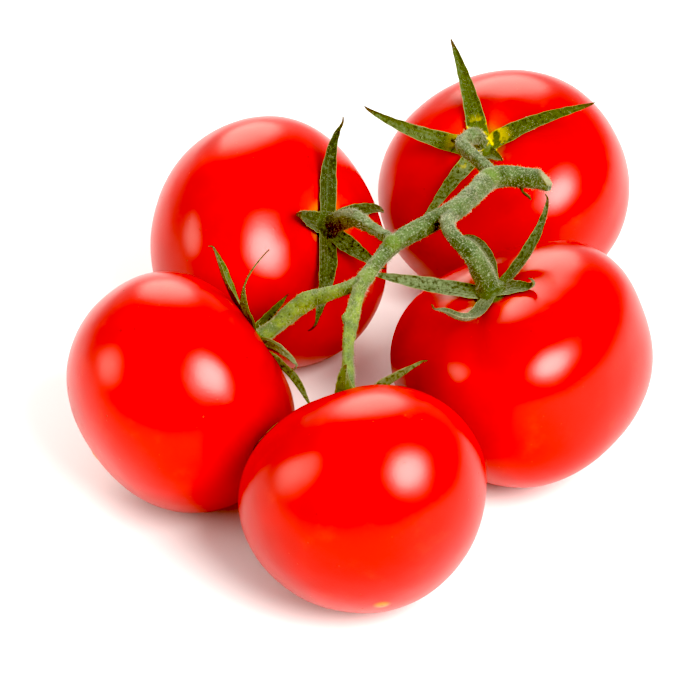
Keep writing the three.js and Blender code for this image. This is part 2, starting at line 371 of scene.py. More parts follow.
def specks(place, scale, size, share):
    """Small round specks: 1 inside a speck, 0 between; share is how many cells hold one."""
    cell = add_node(place.tree, "ShaderNodeTexVoronoi", inputs={"Vector": place, "Scale": scale})
    pick = add_node(place.tree, "ShaderNodeSeparateColor", inputs={0: cell.other("Color")})
    return ramp(cell, size, size * SPECK_CORE) * (pick > 1 - share)


def attribute(tree, name):
    return add_node(tree, "ShaderNodeAttribute", {"attribute_name": name}, output="Fac")


def colour(rgb):
    return (*rgb, 1.0)


def new_material(name):
    """A material with an empty Principled shader; returns it, its tree and its Object coordinates."""
    material = bpy.data.materials.new(name)
    material.use_nodes = True
    tree = material.node_tree
    place = add_node(tree, "ShaderNodeTexCoord", output="Object")
    return material, tree, place


def finish_shader(tree, values):
    """Sets or links the sockets of a tree's Principled shader."""
    shader = tree.nodes["Principled BSDF"]
    for name, value in values.items():
        if isinstance(value, Wire):
            tree.links.new(value.socket, shader.inputs[name])
        else:
            shader.inputs[name].default_value = value


def bump(height, distance, strength=1.0):
    return add_node(height.tree, "ShaderNodeBump", inputs={
        "Height": height, "Distance": distance, "Strength": strength})


def skin_material(looks):
    """Ripe tomato skin: red flesh shining through a thin glossy skin."""
    material, tree, place = new_material("tomato_skin")
    from_stem = attribute(tree, "from_stem")
    from_scar = math.pi - from_stem
    cloud = grain(place, scale=28.0, detail=3.0)
    mottle = grain(place, scale=160.0, detail=4.0, roughness=0.6)
    red = mixed(ramp(cloud, 0.35, 0.65), colour(looks.deep_colour), colour(looks.ripe_colour))
    red = mixed(ramp(mottle, 0.55, 0.8) * 0.2, red, colour(looks.shoulder_colour))
    shoulder = ramp(from_stem + 0.25 * (mottle - 0.5), 0.62, 0.25)
    red = mixed(shoulder * 0.7, red, colour(looks.shoulder_colour))
    crown = ramp(from_stem + 0.2 * (mottle - 0.5), 0.34, 0.18)
    red = mixed(crown * 0.85, red, colour(looks.crown_colour))
    red = mixed(ramp(from_scar, 0.09, 0.02) * 0.9, red, colour(looks.crown_colour))
    red = mixed(ramp(from_scar, 0.018, 0.008) * 0.6, red, colour(looks.scar_colour))
    pale = specks(place, scale=420.0, size=0.12, share=0.3)
    dark = specks(place, scale=300.0, size=0.1, share=0.18)
    red = mixed(pale * 0.4, red, colour(looks.shoulder_colour))
    red = mixed(dark * 0.5, red, colour(looks.scar_colour))
    peel = grain(place, scale=1400.0, detail=2.0)
    height = peel * 0.3 + pale * 0.6 - dark
    finish_shader(tree, {
        "Base Color": red,
        "Roughness": looks.roughness + 0.04 * cloud + 0.2 * dark,
        "Normal": bump(height, 0.03 * MM),
        "Subsurface Weight": looks.translucency,
        "Subsurface Radius": (1.0, 0.25, 0.12),
        "Subsurface Scale": 3 * MM,
        "Specular IOR Level": looks.shine,
    })
    return material


def calyx_material(looks):
    """Sepal skin: speckled green with a pale rib and edges, and dry brown tips."""
    material, tree, place = new_material("calyx_green")
    share = attribute(tree, "share")
    across = abs(attribute(tree, "across"))
    under = ramp(attribute(tree, "face"), 0.1, -0.3)
    tint = attribute(tree, "tint")
    blotch = grain(place, scale=420.0, detail=3.0, roughness=0.6)
    fuzz = grain(place, scale=1150.0, detail=3.0, roughness=0.65)
    vein = ramp(cosine(across * 17.0), 0.4, 1.0) * (1 - share)
    green = mixed(ramp(blotch, 0.35, 0.65), colour(looks.shade_colour), colour(looks.leaf_colour))
    green = mixed(tint, green, colour(looks.young_colour))
    green = mixed(under * 0.3, green, colour(looks.pale_colour))
    green = mixed(ramp(fuzz, 0.53, 0.63) * 0.6, green, colour(looks.pale_colour))
    bloom = attribute(tree, "bloom") * ramp(fuzz, 0.4, 0.62, 0.4, 1.0)
    green = mixed(bloom * 0.85, green, colour(looks.bloom_colour))
    green = mixed(ramp(fuzz, 0.47, 0.37) * 0.75, green, colour(looks.shade_colour))
    green = mixed(ramp(across, 0.16, 0.03) * (1 - share) * 0.35, green, colour(looks.pale_colour))
    green = mixed(ramp(across, 0.86, 1.0) * 0.75, green, colour(looks.edge_colour))
    green = mixed(ramp(share, 0.2, 0.0) * tint * 1.4, green, colour(looks.young_colour))
    patch = grain(place, scale=300.0, detail=2.0)
    yellow = attribute(tree, "blush") * ramp(share, 0.26, 0.1) * ramp(patch, 0.5, 0.6)
    green = mixed(yellow, green, colour(looks.blush_colour))
    dryness = ramp(share + 0.12 * (blotch - 0.5), 0.86, 0.97)
    green = mixed(dryness, green, colour(looks.dry_colour))
    height = fuzz * 0.7 + vein * 0.5 + blotch * 0.5
    finish_shader(tree, {
        "Base Color": green,
        "Roughness": 0.5 + 0.3 * fuzz,
        "Normal": bump(height, 0.18 * MM),
        "Specular IOR Level": 0.35,
        "Sheen Weight": 0.25,
        "Sheen Roughness": 0.5,
        "Sheen Tint": (0.9, 1.0, 0.75, 1.0),
    })
    return material


def stem_material(looks):
    """Stem skin: sage green under a whitish down, brighter where it is young."""
    material, tree, place = new_material("stem_green")
    fresh = attribute(tree, "fresh")
    bud = attribute(tree, "bud")
    cut = attribute(tree, "cut")
    worn = attribute(tree, "worn")
    blotch = grain(place, scale=260.0, detail=3.0, roughness=0.6)
    down = grain(place, scale=1900.0, detail=3.0, roughness=0.7)
    dots = specks(place, scale=1250.0, size=0.42, share=0.5)
    base = mixed(fresh, colour(looks.stem_colour), colour(looks.fresh_colour))
    shade = mixed(fresh, colour(looks.shade_colour), colour(looks.stem_colour))
    green = mixed(ramp(blotch, 0.3, 0.7), shade, base)
    green = mixed(bud * 0.6, green, colour(looks.bud_colour))
    smooth = 1 - 0.8 * bud
    green = mixed(ramp(down, 0.53, 0.64) * smooth * (0.55 - 0.35 * fresh), green, colour(looks.down_colour))
    green = mixed(dots * smooth * 0.7, green, colour(looks.shade_colour))
    green = mixed(worn * ramp(blotch, 0.25, 0.6) * 0.8, green, colour(looks.worn_colour))
    green = mixed(cut, green, colour(looks.cut_colour))
    height = (down + 0.6 * blotch) * smooth
    finish_shader(tree, {
        "Base Color": green,
        "Roughness": 0.55 + 0.25 * down,
        "Normal": bump(height, 0.2 * MM),
        "Specular IOR Level": 0.3,
        "Sheen Weight": 0.35,
        "Sheen Roughness": 0.4,
        "Sheen Tint": (0.95, 1.0, 0.8, 1.0),
    })
    return material


def hair_material(looks):
    """Fine pale hairs, some a little darker than others."""
    material, tree, place = new_material("pale_hair")
    shade = grain(place, scale=300.0, detail=2.0)
    finish_shader(tree, {
        "Base Color": mixed(ramp(shade, 0.3, 0.7), colour(looks.dark_colour), colour(looks.pale_colour)),
        "Roughness": 0.5 + 0.2 * shade,
        "Specular IOR Level": 0.3,
    })
    return material


def floor_material(looks):
    """Plain pale floor with a faint tooth."""
    material, tree, place = new_material("studio_floor")
    tooth = grain(place, scale=900.0, detail=2.0)
    finish_shader(tree, {
        "Base Color": colour(looks.floor_colour),
        "Roughness": 0.75 + 0.1 * tooth,
        "Specular IOR Level": 0.2,
    })
    return material


def new_tree(name, sizes):
    """A Geometry Nodes tree with named inputs; returns it and a wire for each input."""
    tree = bpy.data.node_groups.new(name, "GeometryNodeTree")
    tree.interface.new_socket("Geometry", in_out="OUTPUT", socket_type="NodeSocketGeometry")
    tree.interface.new_socket("Geometry", in_out="INPUT", socket_type="NodeSocketGeometry")
    for label, kind in sizes.items():
        tree.interface.new_socket(label, in_out="INPUT", socket_type="NodeSocket" + kind)
    group = tree.nodes.new("NodeGroupInput")
    return tree, {socket.name: Wire(tree, socket) for socket in group.outputs if socket.name}


def end_tree(tree, geometry, material):
    """Closes a tree with smooth faces, real geometry and its material."""
    smooth = add_node(tree, "GeometryNodeSetShadeSmooth", inputs={"Geometry": geometry})
    real = add_node(tree, "GeometryNodeRealizeInstances", inputs={"Geometry": smooth})
    dressed = add_node(tree, "GeometryNodeSetMaterial", inputs={"Geometry": real, "Material": material})
    end = tree.nodes.new("NodeGroupOutput")
    tree.links.new(dressed.socket, end.inputs[0])
    return tree


def stored(tree, geometry, name, value, kind="FLOAT"):
    return add_node(tree, "GeometryNodeStoreNamedAttribute", {"data_type": kind}, {
        "Geometry": geometry, "Name": name, "Value": value})


def named(tree, name, kind="FLOAT"):
    return add_node(tree, "GeometryNodeInputNamedAttribute", {"data_type": kind}, {"Name": name})


def grown(name, tree, values, source=None, finishers=()):
    """The plain mesh that a tree makes from its input values, after any finishing modifiers."""
    start = source or bpy.data.meshes.new("start")
    holder = bpy.data.objects.new(name, start)
    bpy.context.scene.collection.objects.link(holder)
    modifier = holder.modifiers.new("form", "NODES")
    modifier.node_group = tree
    sockets = {item.name: item.identifier for item in tree.interface.items_tree if item.in_out == "INPUT"}
    for label, value in values.items():
        modifier[sockets[label]] = value
    for kind, settings in finishers:
        finisher = holder.modifiers.new(kind.lower(), kind)
        for key, value in settings.items():
            setattr(finisher, key, value)
    depsgraph = bpy.context.evaluated_depsgraph_get()
    mesh = bpy.data.meshes.new_from_object(
        holder.evaluated_get(depsgraph), preserve_all_data_layers=True, depsgraph=depsgraph)
    bpy.data.objects.remove(holder)
    bpy.data.meshes.remove(start)
    mesh.name = name
    return mesh


def place_piece(name, mesh, nodes=()):
    """Puts a finished mesh in the scene as a piece of the truss."""
    piece = bpy.data.objects.new(name, mesh)
    bpy.context.scene.collection.objects.link(piece)
    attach(piece, BODY)
    for node in nodes:
        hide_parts(node)
    return piece


def line_mesh(name, paths, columns):
    """Open lines as a mesh of edges; columns names the values that follow x, y, z in each row."""
    mesh = bpy.data.meshes.new(name)
    rows = np.vstack(paths)
    edges = []
    start = 0
    for path in paths:
        edges += [(start + i, start + i + 1) for i in range(len(path) - 1)]
        start += len(path)
    mesh.from_pydata(rows[:, :3].tolist(), edges, [])
    at = 3
    for label, width in columns:
        kind, field = ("FLOAT", "value") if width == 1 else ("FLOAT_VECTOR", "vector")
        data = mesh.attributes.new(label, kind, "POINT").data
        data.foreach_set(field, rows[:, at:at + width].astype(np.float32).ravel())
        at += width
    return mesh


def set_values(mesh, label, values):
    mesh.attributes.new(label, "FLOAT", "POINT").data.foreach_set("value", values.astype(np.float32))


def eased(value, low, high):
    share = np.clip((value - low) / (high - low), 0, 1)
    return share * share * (3 - 2 * share)


def smooth_path(stations, step):
    """Rows along a centripetal Catmull-Rom curve through stations; other columns ease between them."""
    rows = np.asarray(stations, float)
    points = rows[:, :3]
    points = np.vstack([2 * points[0] - points[1], points, 2 * points[-1] - points[-2]])
    path = []
    for i in range(len(rows) - 1):
        p0, p1, p2, p3 = points[i:i + 4]
        t0, t1, t2 = (max(np.linalg.norm(b - a), TINY) ** 0.5 for a, b in ((p0, p1), (p1, p2), (p2, p3)))
        leave = ((p1 - p0) / t0 - (p2 - p0) / (t0 + t1) + (p2 - p1) / t1) * t1
        arrive = ((p2 - p1) / t1 - (p3 - p1) / (t1 + t2) + (p3 - p2) / t2) * t1
        count = max(2, math.ceil(np.linalg.norm(p2 - p1) / step))
        for k in range(count if i < len(rows) - 2 else count + 1):
            t = k / count
            point = ((2 * t**3 - 3 * t**2 + 1) * p1 + (t**3 - 2 * t**2 + t) * leave
                     + (3 * t**2 - 2 * t**3) * p2 + (t**3 - t**2) * arrive)
            ease = eased(t, 0, 1)
            path.append([*point, *((1 - ease) * rows[i, 3:] + ease * rows[i + 1, 3:])])
    return np.array(path)


def skin_radius(fruit, angle, turn):
    """Distance in millimetres from a fruit's centre to its skin."""
    across = np.sin(angle)
    along = np.cos(angle)
    half = fruit["radius"] * np.where(along > 0, fruit["top"], fruit["bottom"])
    square = fruit["square"]
    around = (np.abs(across / fruit["radius"])**square + np.abs(along / half)**square)**(-1 / square)
    dimple = 1 - DIMPLE_DEPTH * np.exp(-(angle / DIMPLE_SPREAD)**2)
    (oval, oval_at), (lobe, lobe_at) = fruit["oval"], fruit["lobe"]
    swell = oval * np.cos(2 * (turn - math.radians(oval_at)))
    swell = swell + lobe * np.cos(3 * (turn - math.radians(lobe_at)))
    return around * dimple * (1 + swell * across * across)


def dimple_floor(fruit):
    return float(skin_radius(fruit, 0.0, 0.0))


def fruit_basis(fruit):
    """Columns: two directions across the stem axis, and the axis."""
    tilt = math.radians(fruit["tilt"])
    azimuth = math.radians(fruit["azimuth"])
    axis = Vector((math.sin(tilt) * math.cos(azimuth), math.sin(tilt) * math.sin(azimuth), math.cos(tilt)))
    first = axis.cross(Vector((1, 0, 0))).normalized()
    second = axis.cross(first)
    return Matrix((first, second, axis)).transposed()


def fruit_centre(fruit):
    """Centre of a fruit in millimetres: its height follows from the top of its solid."""
    steps_down, steps_round = OUTLINE_STEPS
    angle, turn = np.meshgrid(np.linspace(0, math.pi, steps_down), np.linspace(0, 2 * math.pi, steps_round))
    reach = skin_radius(fruit, angle, turn)
    local = np.stack([np.sin(angle) * np.cos(turn), np.sin(angle) * np.sin(turn), np.cos(angle)])
    rise = reach * np.tensordot(np.array(fruit_basis(fruit))[2], local, 1)
    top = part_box("tomato_" + fruit["name"])[1].z / MM
    return np.array([*fruit["at"], top - rise.max()])


def to_row(fruit, points):
    """Points of a fruit's own frame, in millimetres, moved to the truss's frame."""
    return np.asarray(points) @ np.array(fruit_basis(fruit)).T + fruit_centre(fruit)


def tomato_tree(material, looks):
    """The fruit: a fine globe reshaped by the rule of its solid, with furrows and an uneven skin."""
    labels = ("Radius", "Top", "Bottom", "Squareness", "Oval", "Oval Turn", "Lobe", "Lobe Turn",
              "Furrow", "Unevenness", "Seed")
    sizes = {label: "Float" for label in labels}
    sizes |= {"Centre": "Vector", "Turn": "Vector"}
    tree, given = new_tree("tomato_form", sizes)
    globe = add_node(tree, "GeometryNodeMeshUVSphere", inputs={
        "Segments": looks.segments, "Rings": looks.rings, "Radius": 1.0})
    place = add_node(tree, "GeometryNodeInputPosition")
    xyz = add_node(tree, "ShaderNodeSeparateXYZ", inputs={0: place})
    angle = xyz.calc("ARCCOSINE", xyz.other("Z").calc("MINIMUM", xyz.other("Z"), 1.0))
    turn = xyz.calc("ARCTAN2", xyz.other("Y"), xyz.other("X"))
    across = abs(sine(angle))
    along = cosine(angle)
    half = given["Radius"] * (given["Bottom"] + (given["Top"] - given["Bottom"]) * (along > 0.0))
    square = given["Squareness"]
    around = ((across / given["Radius"])**square + abs(along / half)**square)**(-1.0 / square)
    dimple = 1.0 - DIMPLE_DEPTH * bell(angle, 0.0, DIMPLE_SPREAD)
    swell = given["Oval"] * cosine(2.0 * (turn - given["Oval Turn"]))
    swell = swell + given["Lobe"] * cosine(3.0 * (turn - given["Lobe Turn"]))
    seat = add_node(tree, "ShaderNodeCombineXYZ", inputs={"X": given["Seed"], "Y": given["Seed"]})
    spot = add_node(tree, "ShaderNodeVectorMath", {"operation": "ADD"}, {0: place, 1: seat})
    lumps = grain(spot, scale=LUMP_SCALE) - 0.5
    furrows = cosine(FURROW_COUNT * turn + FURROW_WANDER * lumps)
    furrows = furrows * bell(angle, FURROW_AT, FURROW_SPREAD) * across
    scar = bell(angle, math.pi, SCAR_RIM) - 0.5 * bell(angle, math.pi, SCAR_PIT)
    reach = around * dimple * (1.0 + swell * across * across)
    reach = reach - given["Furrow"] * furrows + given["Unevenness"] * (lumps + SCAR_HEIGHT * scar)
    moved = add_node(tree, "ShaderNodeVectorMath", {"operation": "SCALE"}, {"Vector": place, "Scale": reach})
    form = stored(tree, globe, "from_stem", angle)
    form = add_node(tree, "GeometryNodeSetPosition", inputs={"Geometry": form, "Position": moved})
    turned = add_node(tree, "FunctionNodeEulerToRotation", inputs={0: given["Turn"]})
    form = add_node(tree, "GeometryNodeTransform", inputs={
        "Geometry": form, "Translation": given["Centre"], "Rotation": turned})
    rest = add_node(tree, "ShaderNodeSeparateXYZ", inputs={0: add_node(tree, "GeometryNodeInputPosition")})
    height = rest.other("Z")
    flat = add_node(tree, "ShaderNodeCombineXYZ", inputs={
        "X": rest.other("X"), "Y": rest.other("Y"), "Z": height.calc("MAXIMUM", height, 0.0)})
    form = add_node(tree, "GeometryNodeSetPosition", inputs={"Geometry": form, "Position": flat})
    return end_tree(tree, form, material)


def tomato_sizes(fruit, looks):
    """Input values of the fruit's tree."""
    return {
        "Radius": fruit["radius"] * MM,
        "Top": fruit["top"],
        "Bottom": fruit["bottom"],
        "Squareness": fruit["square"],
        "Oval": fruit["oval"][0],
        "Oval Turn": math.radians(fruit["oval"][1]),
        "Lobe": fruit["lobe"][0],
        "Lobe Turn": math.radians(fruit["lobe"][1]),
        "Furrow": looks.furrow,
        "Unevenness": looks.unevenness,
        "Seed": SEED_STEP * float(fruit["name"]),
        "Centre": Vector(fruit_centre(fruit)) * MM,
        "Turn": Vector(fruit_basis(fruit).to_euler()),
    }


def lifted(fruit, point):
    """A point moved out of the fruit until it is clear of the skin."""
    reach = np.linalg.norm(point)
    skin = skin_radius(fruit, math.acos(point[2] / reach), math.atan2(point[1], point[0]))
    return point * max(1, (skin + SKIN_CLEARANCE) / reach)


def sepal_half(width, share):
    """Half width of a sepal along its length."""
    if share < WIDEST_AT:
        return width / 2 * (ROOT_SHARE + (1 - ROOT_SHARE) * math.sin(math.pi / 2 * share / WIDEST_AT))
    left = (1 - share) / (1 - WIDEST_AT)
    return width / 2 * (TIP_SHARE + (1 - TIP_SHARE) * left**TAPER)


def sepal_path(fruit, sepal):
    """Rows x, y, z, half width and side direction along a sepal's mid-line, and its share of the length."""
    turn, length, rise, curl, hook, sway, width, thread, thread_curl, roll = sepal
    heading = math.radians(turn)
    root = fruit["stem_end"] / 2 + ROOT_CLEARANCE
    point = np.array([root * math.cos(heading), root * math.sin(heading), dimple_floor(fruit) + ROOT_HEIGHT])
    point = lifted(fruit, point)
    rows = []
    thread_steps = max(2, round(thread / PATH_STEP))
    for i in range(SEPAL_STEPS + thread_steps + 1):
        share = min(1, i / SEPAL_STEPS)
        dry = max(0, i - SEPAL_STEPS) / thread_steps
        bend = max(0, (share - SEPAL_HOOK_START) / (1 - SEPAL_HOOK_START))**2
        slope = math.radians(rise + curl * share + hook * bend + thread_curl * dry)
        way = heading + math.radians(sway) * share
        ahead = np.array([math.cos(slope) * math.cos(way), math.cos(slope) * math.sin(way), math.sin(slope)])
        half = (1 - dry) * sepal_half(width, share) + dry * THREAD_HALF
        side = np.array([-math.sin(way), math.cos(way), 0.0])
        lean = math.radians(roll) * share
        side = math.cos(lean) * side + math.sin(lean) * np.cross(ahead, side)
        rows.append([*point, half, *side])
        step = length / SEPAL_STEPS if i < SEPAL_STEPS else thread / thread_steps
        point = lifted(fruit, point + ahead * step)
    return smooth_path(rows, PATH_STEP)


def calyx_lines(fruit):
    """The sepals' mid-lines in the truss's frame, in metres."""
    basis = np.array(fruit_basis(fruit))
    paths = []
    for sepal, bloom in zip(fruit["sepals"], fruit["bloom"]):
        path = sepal_path(fruit, sepal)
        place = to_row(fruit, path[:, :3]) * MM
        half = path[:, 3:4] * MM
        side = path[:, 4:7] @ basis.T
        paths.append(np.hstack([place, half, side, np.full_like(half, bloom)]))
    return line_mesh("sepal_lines", paths, (("half", 1), ("side", 3), ("bloom", 1)))


def rolling(share, luck, wave):
    """Angle of a wave along a sepal, started elsewhere on each one."""
    turns, start = wave
    return share * turns + luck * start


def calyx_tree(material, looks):
    """Sepals: a thin round bar on each mid-line, spread into a ribbed, guttered blade."""
    labels = ("Thickness", "Gutter", "Rib", "Wave", "Youth", "Blush", "Seed")
    tree, given = new_tree("sepal_form", {label: "Float" for label in labels})
    lines = add_node(tree, "GeometryNodeMeshToCurve", inputs={"Mesh": given["Geometry"]})
    count = add_node(
        tree, "GeometryNodeAttributeDomainSize", {"component": "CURVE"}, {0: lines}, "Spline Count")
    seats = add_node(tree, "GeometryNodePoints", inputs={"Count": count})
    index = add_node(tree, "GeometryNodeInputIndex")
    seats = stored(tree, seats, "leaf", index, "INT")
    bar = add_node(tree, "GeometryNodeMeshCylinder", {"fill_type": "TRIANGLE_FAN"}, {
        "Vertices": looks.sides, "Side Segments": looks.steps, "Radius": 1.0, "Depth": 1.0})
    place = add_node(tree, "GeometryNodeInputPosition")
    xyz = add_node(tree, "ShaderNodeSeparateXYZ", inputs={0: place})
    bar = stored(tree, bar, "share", xyz.other("Z") + 0.5)
    bar = stored(tree, bar, "across", xyz)
    bar = stored(tree, bar, "face", xyz.other("Y"))
    blades = add_node(tree, "GeometryNodeInstanceOnPoints", inputs={"Points": seats, "Instance": bar})
    blades = add_node(tree, "GeometryNodeRealizeInstances", inputs={"Geometry": blades})
    leaf = named(tree, "leaf", "INT")
    share = named(tree, "share")
    across = named(tree, "across")
    face = named(tree, "face")
    picks = {"Curves": lines, "Factor": share, "Curve Index": leaf}
    half = add_node(tree, "GeometryNodeSampleCurve", inputs=picks | {"Value": named(tree, "half")})
    side = add_node(tree, "GeometryNodeSampleCurve", {"data_type": "FLOAT_VECTOR"}, picks | {
        "Value": named(tree, "side", "FLOAT_VECTOR")})
    bloom = add_node(tree, "GeometryNodeSampleCurve", inputs=picks | {"Value": named(tree, "bloom")})
    up = add_node(tree, "ShaderNodeVectorMath", {"operation": "CROSS_PRODUCT"}, {
        0: half.other("Tangent"), 1: side})
    up = add_node(tree, "ShaderNodeVectorMath", {"operation": "NORMALIZE"}, {0: up})
    pick = add_node(tree, "FunctionNodeRandomValue", inputs={2: 0.0, 3: 1.0, "ID": leaf, "Seed": 3}, output=1)
    luck = pick + given["Seed"]
    # 1 where the blade is at least 2 mm wide, less where it is narrower
    full = half.calc("MINIMUM", half / MM, 1.0)
    edge = across * across
    wave = sine(rolling(share, luck, WAVE) + WAVE_SKEW * across) + 0.5 * sine(rolling(share, luck, RIPPLE))
    thickness = (1.0 - EDGE_THINNING * edge) * (THREAD_THICKNESS + (1 - THREAD_THICKNESS) * full)
    body = face * given["Thickness"] * 0.5 * thickness
    under = face.calc("MINIMUM", face, 0.0)
    rib = bell(across, 0.0, RIB_SPREAD) * given["Rib"] * full * (under * RIB_UNDER - RIB_GROOVE)
    lift = given["Gutter"] * edge * full + given["Wave"] * wave * edge * full
    veins = VEIN_HEIGHT * given["Rib"] * cosine(across * VEIN_TURN) * full
    height = body + rib + lift + veins
    jag = 1.0 + JAG_SIZE * sine(rolling(share, luck, JAG)) * edge
    spread = add_node(tree, "ShaderNodeVectorMath", {"operation": "SCALE"}, {
        "Vector": side, "Scale": across * half * jag})
    raised = add_node(tree, "ShaderNodeVectorMath", {"operation": "SCALE"}, {"Vector": up, "Scale": height})
    point = add_node(tree, "ShaderNodeVectorMath", {"operation": "ADD"}, {
        0: half.other("Position"), 1: spread})
    point = add_node(tree, "ShaderNodeVectorMath", {"operation": "ADD"}, {0: point, 1: raised})
    blades = stored(tree, blades, "tint", given["Youth"] * (pick + 0.5))
    blades = stored(tree, blades, "blush", given["Blush"])
    blades = stored(tree, blades, "bloom", bloom)
    blades = add_node(tree, "GeometryNodeSetPosition", inputs={"Geometry": blades, "Position": point})
    return end_tree(tree, blades, material)


def receptacle_rings(fruit):
    """Profile of the swollen disc between sepals and stem: radius, and height over the dimple's floor."""
    stem = fruit["stem_end"] / 2
    rim = stem + ROOT_CLEARANCE + DISC_OVERHANG
    rings = [(rim * share, height) for share, height in DISC_RIM]
    return rings + [(stem + outside, height) for outside, height in DISC_COLLAR]


def receptacle_mesh(fruit, material):
    """The disc that the sepals grow from, bulging towards each sepal's root."""
    rings = receptacle_rings(fruit)
    sides = DISC_SIDES
    turns = np.linspace(0, 2 * math.pi, sides, endpoint=False)
    roots = np.radians([sepal[0] for sepal in fruit["sepals"]])
    toward = np.exp(BULGE_SHARPNESS * (np.cos(turns[:, None] - roots[None]) - 1)).sum(1)
    points = []
    for radius, height in rings:
        reach = radius * (DISC_WAIST + DISC_BULGE * np.minimum(toward, 1))
        points += np.stack([reach * np.cos(turns), reach * np.sin(turns), np.full(sides, height)], 1).tolist()
    points += [(0, 0, -DISC_SINK), (0, 0, rings[-1][1])]
    points = np.array(points) + (0, 0, dimple_floor(fruit))
    last = len(points) - 1
    top = (len(rings) - 1) * sides
    faces = []
    for i in range(sides):
        j = (i + 1) % sides
        faces.append((last - 1, j, i))
        faces.append((last, top + i, top + j))
        faces += [(r + i, r + j, r + sides + j, r + sides + i) for r in range(0, top, sides)]
    mesh = bpy.data.meshes.new("receptacle")
    mesh.from_pydata((to_row(fruit, points) * MM).tolist(), [], faces)
    mesh.polygons.foreach_set("use_smooth", [True] * len(mesh.polygons))
    mesh.materials.append(material)
    values = {"share": 0.08, "across": 0.5, "face": 1.0, "tint": fruit["youth"], "blush": fruit["blush"],
              "bloom": 0.2}
    for label, value in values.items():
        set_values(mesh, label, np.full(len(mesh.vertices), value))
    return mesh


def joined(name, meshes):
    """One mesh from several that share a material."""
    objects = [bpy.data.objects.new(name, mesh) for mesh in meshes]
    for item in objects:
        bpy.context.scene.collection.objects.link(item)
    with bpy.context.temp_override(active_object=objects[0], selected_editable_objects=objects):
        bpy.ops.object.join()
    mesh = objects[0].data
    bpy.data.objects.remove(objects[0])
    mesh.name = name
    return mesh


def stem_paths():
    """Rows x, y, z and half width along the main stem and the side stems, in millimetres."""
    paths = {"main": smooth_path(MAIN_STEM, PATH_STEP)}
    for fruit in FRUITS:
        foot = dimple_floor(fruit) + DISC_TOP + STEM_GAP
        lead = to_row(fruit, [(0, 0, foot + STEM_LEAD), (0, 0, foot - STEM_FOOT_SINK)])
        stations = SIDE_STEMS[fruit["name"]] + [(*point, fruit["stem_end"]) for point in lead]
        paths[fruit["name"]] = smooth_path(stations, PATH_STEP)
    for path in paths.values():
        path[:, 3] = path[:, 3] / 2 - STEM_ALLOWANCE
    return paths


def bud_path(scar, paths):
    """A bud scar as a short line whose half width swells and closes, laid along its stem."""
    centre = np.array(scar[:3])
    stem = np.vstack(list(paths.values()))[:, :3]
    near = stem[np.linalg.norm(stem - centre, axis=1) < BUD_REACH]
    along = np.linalg.svd(near - near.mean(0))[2][0]
    share = np.linspace(-BUD_END, BUD_END, BUD_STEPS)
    place = centre + np.outer(share * scar[3] * BUD_STRETCH, along)
    return np.column_stack([place, scar[3] * np.sqrt(1 - share**2)])


def stem_tree(material):
    """Stems: a round tube along every line, as wide as the line says."""
    tree, given = new_tree("stem_form", {"Sides": "Int"})
    lines = add_node(tree, "GeometryNodeMeshToCurve", inputs={"Mesh": given["Geometry"]})
    ring = add_node(tree, "GeometryNodeCurvePrimitiveCircle", inputs={
        "Resolution": given["Sides"], "Radius": 1.0})
    tubes = add_node(tree, "GeometryNodeCurveToMesh", inputs={
        "Curve": lines, "Profile Curve": ring, "Scale": named(tree, "half"), "Fill Caps": True})
    return end_tree(tree, tubes, material)


def stem_shading(label, path, run):
    """How fresh and how worn a stem looks at each point of its path, and where its cut end is near."""
    none = np.zeros(len(run))
    if label == "main":
        return FRESH_START * eased(-path[:, 1], *FRESH_FRONT), none, run < CUT_REACH
    fresh = none
    if label in YOUNG_STEMS:
        fresh = FRESH_START + (1 - FRESH_START) * eased(run, *FRESH_RUN)
    worn = eased(run[-1] - run, *WORN_RUN) * (1 if label == WORN_STEM else WORN_ELSEWHERE)
    return fresh, worn, none


